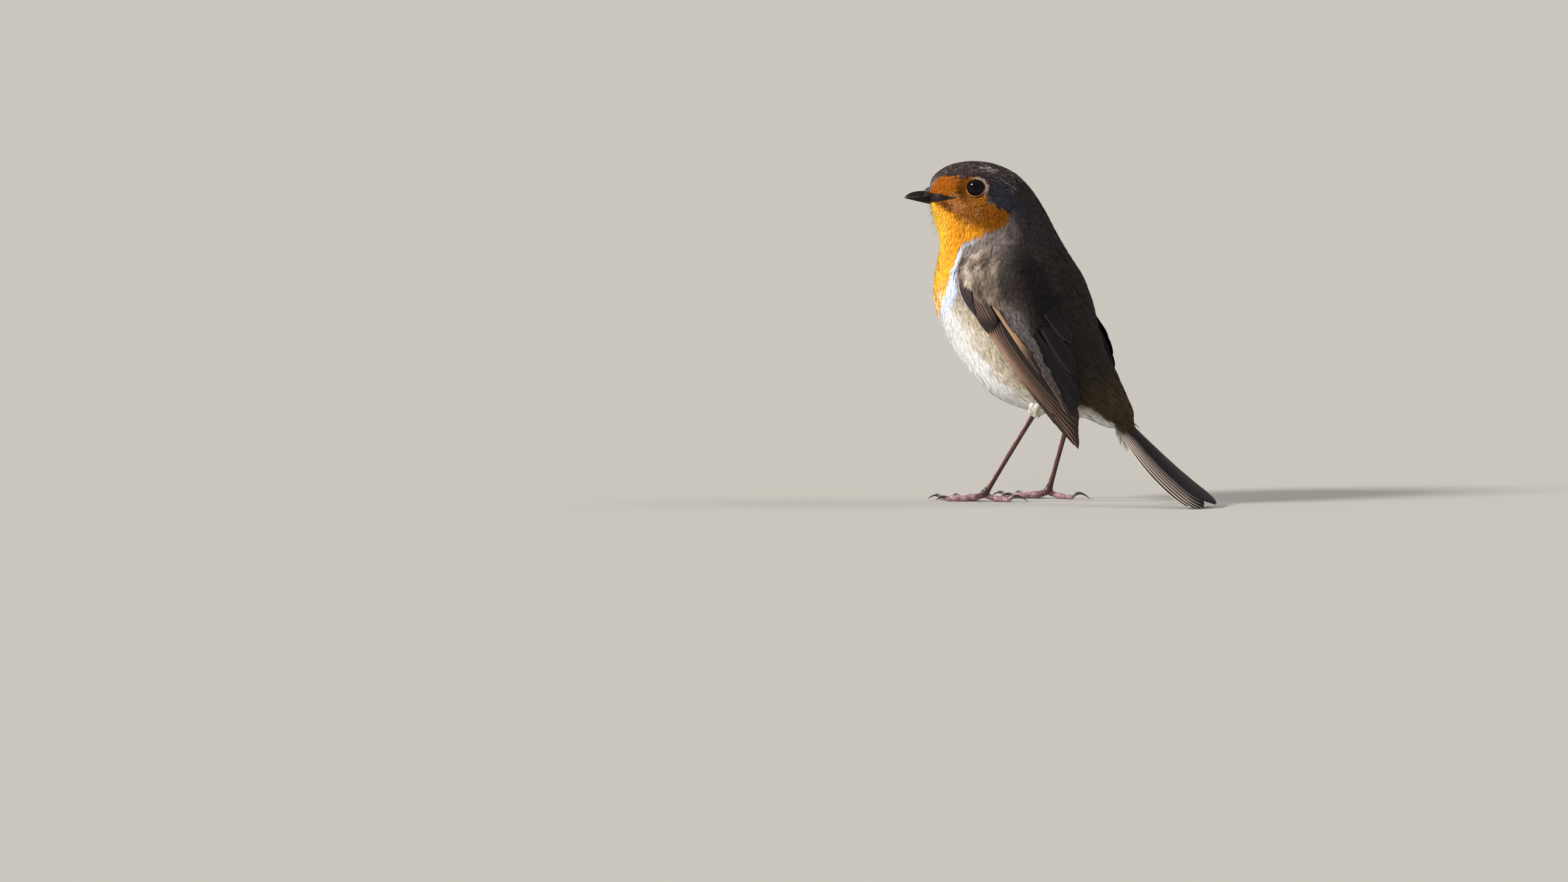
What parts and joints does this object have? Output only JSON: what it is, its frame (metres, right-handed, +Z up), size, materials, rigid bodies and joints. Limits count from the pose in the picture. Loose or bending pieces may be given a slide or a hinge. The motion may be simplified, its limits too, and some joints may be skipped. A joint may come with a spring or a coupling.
{
  "type": "european robin",
  "caption": "Life-size European robin standing upright, head turned to its left, wings folded and tail touching the floor.",
  "frame": {"origin": "on the floor under the middle of the bird's bounding box", "axes": "+Z up, the body faces -Y, the bird's left side is +X"},
  "size_m": [0.0474, 0.104, 0.1072],
  "materials": {
    "olive_plumage": "soft feathers",
    "orange_plumage": "soft feathers",
    "pale_plumage": "soft feathers",
    "flight_feathers": "smooth feathers",
    "bill_horn": "satin horn",
    "eye": "wet gloss",
    "leg_skin": "scaly, satin",
    "claw_horn": "satin horn"
  },
  "bodies": {
    "root": {"belly": "pale_plumage", "bill_lower": "bill_horn", "bill_upper": "bill_horn", "breast": "orange_plumage", "claw_hind_left": "claw_horn", "claw_hind_right": "claw_horn", "claw_inner_left": "claw_horn", "claw_inner_right": "claw_horn", "claw_middle_left": "claw_horn", "claw_middle_right": "claw_horn", "claw_outer_left": "claw_horn", "claw_outer_right": "claw_horn", "eye_left": "eye", "eye_right": "eye", "foot_left": "leg_skin", "foot_right": "leg_skin", "head": "olive_plumage", "neck": "orange_plumage", "rump": "olive_plumage", "shank_left": "leg_skin", "shank_right": "leg_skin", "tail_left": "flight_feathers", "tail_right": "flight_feathers", "thigh_left": "pale_plumage", "thigh_right": "pale_plumage", "toe_hind_left": "leg_skin", "toe_hind_right": "leg_skin", "toe_inner_left": "leg_skin", "toe_inner_right": "leg_skin", "toe_middle_left": "leg_skin", "toe_middle_right": "leg_skin", "toe_outer_left": "leg_skin", "toe_outer_right": "leg_skin", "wing_coverts_left": "olive_plumage", "wing_coverts_right": "olive_plumage", "wing_primaries_left": "flight_feathers", "wing_primaries_right": "flight_feathers", "wing_secondaries_left": "flight_feathers", "wing_secondaries_right": "flight_feathers"}
  },
  "joints": []
}
